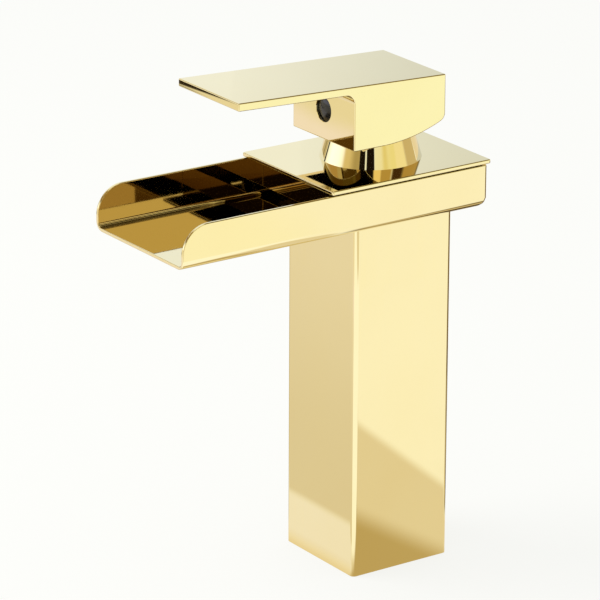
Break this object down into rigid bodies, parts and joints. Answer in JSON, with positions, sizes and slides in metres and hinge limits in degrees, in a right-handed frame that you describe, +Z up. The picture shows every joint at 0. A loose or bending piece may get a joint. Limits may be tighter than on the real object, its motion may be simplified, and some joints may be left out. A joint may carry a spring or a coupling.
{
  "type": "waterfall basin faucet",
  "caption": "Square-column basin mixer tap with a wide open trough spout, a flat cover plate, a round collar and a flat slab lever, all in polished gold.",
  "frame": {"origin": "centre of the square column's foot, on the basin deck", "axes": "+Z up along the column, -Y towards the user and the spout's lip, +X to the right of a person at the basin (the cold side)"},
  "size_m": [0.0556, 0.1286, 0.1833],
  "materials": {
    "gold": "polished",
    "plain_brass": "satin",
    "steel": "satin",
    "black_rubber": "matte",
    "grey_nylon": "satin",
    "white_ceramic": "satin",
    "black_plastic": "gloss"
  },
  "bodies": {
    "tap_body": {"column": "gold", "base_seal": "black_rubber", "base_ring": "steel", "inlet_block": "plain_brass", "supply_pipe_hot": "plain_brass", "supply_pipe_cold": "plain_brass", "valve_body": "plain_brass", "trough": "gold", "baffle": "gold", "cover_plate": "gold", "gland_nut": "plain_brass", "collar": "gold", "cartridge_base": "grey_nylon", "inlet_seals": "black_rubber", "cartridge_housing": "grey_nylon", "cartridge_seal": "black_rubber", "fixed_disc": "white_ceramic"},
    "cartridge_rotor": {"rotor": "grey_nylon", "rotor_pin": "steel"},
    "upper_disc": {"moving_disc": "white_ceramic", "disc_carrier": "grey_nylon"},
    "lever": {"stem": "plain_brass", "handle": "gold", "set_screw": "steel", "index_plug": "black_plastic"}
  },
  "joints": [
    {"name": "temperature_swing", "type": "hinge", "parent": "tap_body", "child": "cartridge_rotor", "pos_m": [0, 0, 0.1533], "axis": [0, 0, 1], "range_deg": [-45, 45]},
    {"name": "flow_lift", "type": "hinge", "parent": "cartridge_rotor", "child": "lever", "pos_m": [0, 0, 0.1533], "axis": [-1, 0, 0], "range_deg": [0, 25]},
    {"name": "disc_slide", "type": "slide", "parent": "cartridge_rotor", "child": "upper_disc", "axis": [0, -1, 0], "range_m": [0, 0.00372]}
  ],
  "couplings": [
    {"joint": "disc_slide", "follows": "flow_lift", "m_per_rad": 0.0085}
  ]
}
